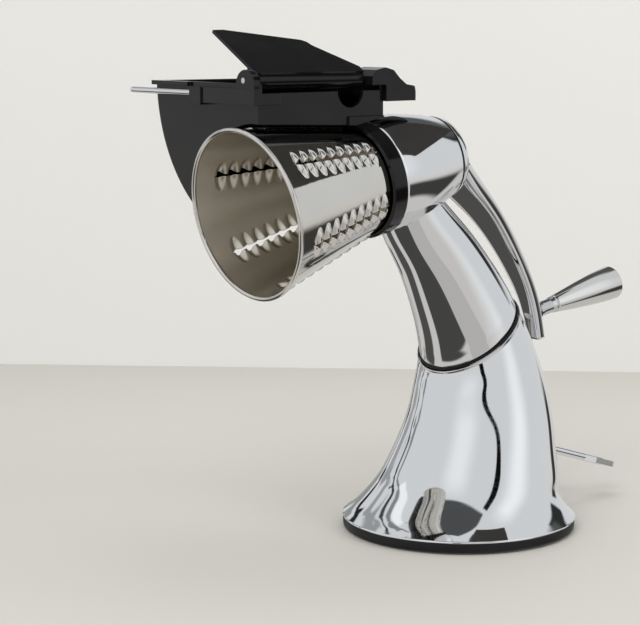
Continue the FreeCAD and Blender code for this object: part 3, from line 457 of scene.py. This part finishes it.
coneSkin = buildCone()
sheetWall = coneSkin.modifiers.new("wall", "SOLIDIFY")
sheetWall.thickness = cone["wall"] * mm
sheetWall.offset = -1.0
sheetWall.material_offset = 1
sheetWall.material_offset_rim = 0
settle(coneSkin, "cone", "stainless", ["shredder_cone"], coneOutside, coneInside)
beadTurn = np.linspace(0, 2 * math.pi, 15)
beadLine = np.stack([cone["frontRadius"] + cone["bead"] * np.cos(beadTurn),
                     cone["frontAt"] + cone["bead"] * np.sin(beadTurn)], axis=1)
coneBead = gridMesh("coneRolledRim", [barrelTurned(beadLine, 180)])
settle(coneBead, "cone", "stainless", [], coneOutside)
print("cone")

# Crank
crank = {
    "hub": [(0.01, 11), (10, 11.6), (18, 13.2), (23, 16.4), (25.1, 21.5)],
    "path": [(-15, -6, 40, 8), (-4, -22, 36, 9), (11, -42, 28, 8), (23, -62, 22, 7.5), (33, -84, 18, 7),
             (40.5, -108, 14, 6.5), (43, -132, 11, 6)],
    "squareness": 4.5, "columns": 72, "tipEdge": 0.9, "hubBack": [(24.9, 21.5), (20, 21.5), (0.01, 21.5)],
}


# The arm is a rounded rectangle carried down its centre line: a superellipse of the section's
# width and thickness, square to the line
def crankGrid():
    rows = splineRows(crank["path"], np.linspace(0, 6, 110))
    centre = axisPoint + rows[:, :1] * axisBack + rows[:, 1:2] * axisUp
    ahead = np.gradient(centre, axis=0)
    ahead /= np.linalg.norm(ahead, axis=1, keepdims=True)
    thick = np.cross(ahead, axisSide)
    angle = np.linspace(0, 2 * math.pi, crank["columns"], endpoint=False)
    power = 2 / crank["squareness"]
    wideShare = np.sign(np.cos(angle)) * np.abs(np.cos(angle)) ** power
    thickShare = np.sign(np.sin(angle)) * np.abs(np.sin(angle)) ** power
    sides = rows[:, 2][:, None, None] / 2 * wideShare[None, :, None] * axisSide
    faces = rows[:, 3][:, None, None] / 2 * thickShare[None, :, None] * thick[:, None, :]
    body = centre[:, None, :] + sides + faces
    first = np.repeat(body[:1].mean(axis=1, keepdims=True), crank["columns"], axis=1)
    last = np.repeat(body[-1:].mean(axis=1, keepdims=True), crank["columns"], axis=1)
    lastButOne = body[-1:] * crank["tipEdge"] + last * (1 - crank["tipEdge"])
    return np.concatenate([first, body, lastButOne, last])


hubRun = splineRows(crank["hub"], np.linspace(0, 4, 40))
hubLine = np.vstack([hubRun, crank["hubBack"]])
crankSkin = gridMesh("crankArm", [barrelTurned(hubLine, 128), crankGrid()])
settle(crankSkin, "rotor", "chrome_crank", ["crank_arm"], chrome)
print("crank")

# Grip
grip = {"reach": 115.0, "start": 61.0, "bore": 3.6, "boreEnd": 50.0, "columns": 96, "edge": 0.9,
        "side": [(5.4, 0.5), (7.3, 15), (9.1, 30), (10.5, 45), (10.9, 53.5)], "foot": 4.9}
gripSide = splineRows(grip["side"], np.linspace(0, 4, 60))
gripTop = [[0.01, grip["side"][-1][1]]]
gripEnds = softCorners(np.vstack([gripSide[-2:], gripTop]), grip["edge"], closed=False)
gripLine = np.vstack([[[grip["bore"], grip["boreEnd"]], [grip["bore"], 0.0], [grip["foot"], 0.0]],
                      gripSide[:-2], gripEnds])
gripOrigin = axisPoint - axisUp * grip["reach"] + axisBack * grip["start"]
gripProfile = np.vstack([[[0.01, grip["boreEnd"]]], gripLine])
gripSkin = gridMesh("turningGrip", [
    turnedGrid(gripProfile, gripOrigin, axisBack, axisUp, axisSide, grip["columns"])])
settle(gripSkin, "grip", "chrome_grip", ["handle_grip"], gripMetal)
print("grip")

# Rubber ring
ring = {"outline": [(62, 0), (69.5, 0), (71.7, 1.6), (71.7, 7.7), (62, 7.7)], "edge": 0.8}
ringLine = softCorners(ring["outline"], ring["edge"])
ringGrid = turnedGrid(np.vstack([ringLine, ringLine[:1]]), np.zeros(3), np.array([0, 0, 1.0]),
                      np.array([1.0, 0, 0]), axisSide, 168)
ringSkin = gridMesh("suctionRing", [ringGrid])
settle(ringSkin, "stand", "rubber", ["base_ring"], softRubber)
print("rubber ring")

# Table and backdrop
# Both are flat sheets across the view: the table ends where the wall stands, behind the shredder.
# The sizes of the table, wall and card are in metres.
stage = {"headingDeg": -42.97, "near": -2.6, "wallAt": 0.545, "halfTable": 3.0, "halfWall": 0.45,
         "wallHeight": 0.62, "tableTone": (0.6, 0.575, 0.53), "wallTone": (0.8, 0.79, 0.765),
         "shadeTone": (0.06, 0.058, 0.055)}
heading = math.radians(stage["headingDeg"])
away = np.array([-math.sin(heading), math.cos(heading), 0.0])
right = np.array([math.cos(heading), math.sin(heading), 0.0])
upward = np.array([0.0, 0.0, 1.0])


def flatSheet(name, origin, alongA, alongB, spanA, spanB):
    a = np.linspace(*spanA, 9)[:, None, None]
    b = np.linspace(*spanB, 9)[None, :, None]
    return gridMesh(name, [(origin + a * alongA + b * alongB) / mm], closedColumns=False)


tableTop = flatSheet("tableTop", np.zeros(3), away, right, (stage["near"], stage["wallAt"]),
                     (-stage["halfTable"], stage["halfTable"]))
backWall = flatSheet("backWall", away * stage["wallAt"], right, upward,
                     (-stage["halfWall"], stage["halfWall"]), (0, stage["wallHeight"]))

# A dark card hangs over the barrel, seen only in polished surfaces
card = {"centre": (0.079, -0.068, 0.423), "compassDeg": -18, "heightDeg": 54, "halfWide": 0.14,
        "halfTall": 0.088}
cardTurn, cardClimb = math.radians(card["compassDeg"]), math.radians(card["heightDeg"])
cardSide = np.array([-math.sin(cardTurn), math.cos(cardTurn), 0.0])
cardAhead = np.array([math.cos(cardTurn) * math.cos(cardClimb), math.sin(cardTurn) * math.cos(cardClimb),
                      math.sin(cardClimb)])
overhead = flatSheet("overheadCard", np.array(card["centre"]), cardSide, np.cross(cardAhead, cardSide),
                     (-card["halfWide"], card["halfWide"]), (-card["halfTall"], card["halfTall"]))
overhead.visible_camera = False
overhead.visible_diffuse = False
overhead.visible_shadow = False


# A matt tone with faint clouds a shade darker
def stageFinish(name, tone):
    material, tree, shader = newMaterial(name)
    place = addNode(tree, "TexCoord")
    cloud = addNode(tree, "TexNoise", {"Scale": 3.0, "Vector": place.outputs["Object"]})
    darker = [channel * 0.96 for channel in tone]
    mix = addNode(tree, "Mix", {
        "Factor": cloud.outputs["Fac"], "A": (*tone, 1), "B": (*darker, 1)}, data_type="RGBA")
    tree.links.new(mix.outputs["Result"], shader.inputs["Base Color"])
    shader.inputs["Roughness"].default_value = 0.55
    shader.inputs["Specular IOR Level"].default_value = 0.25
    return material


dress(tableTop, stageFinish("paleTable", stage["tableTone"]))
dress(backWall, stageFinish("paleWall", stage["wallTone"]))
dress(overhead, stageFinish("dimCard", stage["shadeTone"]))
tableTop.visible_glossy = False
backWall.visible_glossy = False

# Lamps
lamps = [
    {"name": "keySoftbox", "place": (-1.3, -0.7, 1.5), "aim": (0, 0, 0.15), "size": (1.2, 1.0),
     "power": 16},
    {"name": "sideSoftbox", "place": (0.6, -1.5, 1.0), "aim": (0, 0, 0.15), "size": (0.8, 1.2),
     "power": 7},
    {"name": "topSoftbox", "place": (0.1, 0.2, 1.6), "aim": (0, 0, 0.1), "size": (1.2, 1.2), "power": 9},
]
for lamp in lamps:
    light = bpy.data.lights.new(lamp["name"], "AREA")
    light.shape = "RECTANGLE"
    light.size, light.size_y = lamp["size"]
    light.energy = lamp["power"]
    holder = bpy.data.objects.new(lamp["name"], light)
    holder.location = lamp["place"]
    sight = Vector(lamp["aim"]) - Vector(lamp["place"])
    holder.rotation_euler = sight.to_track_quat("-Z", "Y").to_euler()
    holder.visible_glossy = False
    scene.collection.objects.link(holder)

# The room round the table is a tone for each sight line: soft-edged patches by compass angle and
# height in degrees, laid one over the other. A patch fades in smoothly over its softness.
room = {
    "strength": 1.0, "base": 0.72, "cool": (0.97, 0.99, 1.0), "warm": (1.0, 0.975, 0.93),
    "warmBelow": -12, "coolAbove": 6,
    # the gap's compass angle at two heights, and how far the streaks wander
    "gapFrom": (3, -134), "gapTo": (29, -97), "wander": 14.0,
    # name, compass angle, half width, height, half height, softness, tone
    "patches": [
        ("table", 0, 400, -54, 46, 10, 0.62), ("tableShade", -121, 20, -34, 26, 3, 0.5),
        ("tableAhead", 86, 20, -48, 12, 4, 0.08),
        ("tableAside", 112, 14, -40, 21, 4, 0.08), ("leftScreenGlow", -158, 16, 30, 20, 26, 0.92),
        ("rightScreenGlow", -68, 12, 28, 26, 22, 1.0), ("ceilingLeft", -156, 60, 82, 22, 2.5, 0.08),
        ("gap", -97, 4.1, 20, 36, 1.2, 0.004), ("rightEdge", 3, 9, 22, 13, 4, 0.03),
        ("lidShade", 28, 30, 45, 17, 8, 0.1), ("lowCorner", -28, 25, -20, 9, 6, 0.05),
        ("frontShade", -178, 36, -46, 18, 3, 0.065), ("rightLine", 7, 6, -6, 5, 4, 0.04),
        ("streakA", 56, 3, 8, 40, 2, 0.06), ("streakB", 66, 4, 8, 40, 3, 0.3),
        ("streakC", 78, 2.5, 14, 40, 1.5, 0.02), ("streakD", 90, 4, 20, 40, 3, 0.35),
        ("streakE", 101, 2, 24, 40, 1.5, 0.05), ("streakF", 112, 3, 30, 34, 2, 0.25),
        ("glint", 120, 5, 44, 12, 3, 1.0),
    ],
}


def reckon(tree, operation, first, second=0.5):
    return addNode(tree, "Math", {0: first, 1: second}, operation=operation).outputs["Value"]


def buildSoftPatch():
    # One patch: how far the sight line is inside its width and its height, as a smooth share of the
    # step from the tone below it to its own
    group, given, made = newGroup("softPatch", {
        "Compass": 0.0, "Height": 0.0, "AtCompass": 0.0, "HalfCompass": 10.0, "AtHeight": 0.0,
        "HalfHeight": 10.0, "Soft": 2.0, "Tone": 0.5, "Below": 0.5}, ["Value"])
    halfSoft = reckon(group, "MULTIPLY", given["Soft"], 0.5)
    minusSoft = reckon(group, "MULTIPLY", given["Soft"], -0.5)
    turn = reckon(group, "ABSOLUTE", reckon(group, "SUBTRACT", given["Compass"], given["AtCompass"]))
    turn = reckon(group, "MINIMUM", turn, reckon(group, "SUBTRACT", 360.0, turn))
    climb = reckon(group, "ABSOLUTE", reckon(group, "SUBTRACT", given["Height"], given["AtHeight"]))
    shares = []
    for half, off in (("HalfCompass", turn), ("HalfHeight", climb)):
        fade = addNode(group, "MapRange", interpolation_type="SMOOTHSTEP")
        group.links.new(reckon(group, "SUBTRACT", given[half], off), fade.inputs["Value"])
        group.links.new(minusSoft, fade.inputs["From Min"])
        group.links.new(halfSoft, fade.inputs["From Max"])
        shares.append(fade.outputs["Result"])
    inside = reckon(group, "MULTIPLY", *shares)
    lift = reckon(group, "MULTIPLY", inside, reckon(group, "SUBTRACT", given["Tone"], given["Below"]))
    group.links.new(reckon(group, "ADD", given["Below"], lift), made["Value"])
    return group


def buildRoom():
    softPatch = buildSoftPatch()
    world = bpy.data.worlds.new("studio")
    scene.world = world
    world.use_nodes = True
    tree = world.node_tree
    sight = addNode(tree, "TexCoord").outputs["Generated"]
    part = addNode(tree, "SeparateXYZ", {"Vector": sight}).outputs
    compass = reckon(tree, "DEGREES", reckon(tree, "ARCTAN2", part["Y"], part["X"]))
    height = reckon(tree, "DEGREES", reckon(tree, "ARCSINE", part["Z"]))
    # The dark gap leans over with height; the streaks at the left wander
    gapCentre = addNode(tree, "MapRange", interpolation_type="SMOOTHSTEP")
    for end, (atHeight, atCompass) in (("Min", room["gapFrom"]), ("Max", room["gapTo"])):
        gapCentre.inputs["From " + end].default_value = atHeight
        gapCentre.inputs["To " + end].default_value = atCompass
    tree.links.new(height, gapCentre.inputs["Value"])
    ripple = addNode(tree, "TexNoise", {"Vector": sight, "Scale": 4.0})
    wander = addNode(tree, "MapRange", {
        "From Min": 0.3, "From Max": 0.7, "To Max": room["wander"], "Value": ripple.outputs["Fac"]})
    below = room["base"]
    for label, atCompass, halfCompass, atHeight, halfHeight, soft, tone in room["patches"]:
        centre = atCompass
        if label == "gap":
            centre = gapCentre.outputs["Result"]
        if label.startswith("streak"):
            centre = reckon(tree, "ADD", wander.outputs["Result"], atCompass - room["wander"] / 2)
        patch = addNode(tree, "Group", {
            "Compass": compass, "Height": height, "AtCompass": centre, "HalfCompass": halfCompass,
            "AtHeight": atHeight, "HalfHeight": halfHeight, "Soft": soft, "Tone": tone, "Below": below,
        }, node_tree=softPatch, label=label)
        below = patch.outputs["Value"]
    cast = addNode(tree, "MapRange", {
        "From Min": room["warmBelow"], "From Max": room["coolAbove"], "Value": height})
    hue = addNode(tree, "Mix", {
        "Factor": cast.outputs["Result"], "A": (*room["warm"], 1), "B": (*room["cool"], 1)},
        data_type="RGBA")
    shade = addNode(tree, "VectorMath", {0: hue.outputs["Result"], "Scale": below}, operation="SCALE")
    background = tree.nodes["Background"]
    tree.links.new(shade.outputs["Vector"], background.inputs["Color"])
    background.inputs["Strength"].default_value = room["strength"]


buildRoom()
print("room")

# Camera
view = {"lens": 110.6, "sensor": 36, "place": (-0.8147, -0.8746, 0.3126), "tiltDeg": 81.46,
        "turnDeg": -38.84}
camera = bpy.data.cameras.new("viewCamera")
camera.lens = view["lens"]
camera.sensor_width = view["sensor"]
cameraHolder = bpy.data.objects.new("viewCamera", camera)
cameraHolder.location = view["place"]
cameraHolder.rotation_euler = (math.radians(view["tiltDeg"]), 0, math.radians(view["turnDeg"]))
scene.collection.objects.link(cameraHolder)
scene.camera = cameraHolder
scene.view_settings.view_transform = "Standard"

print("scene ready")
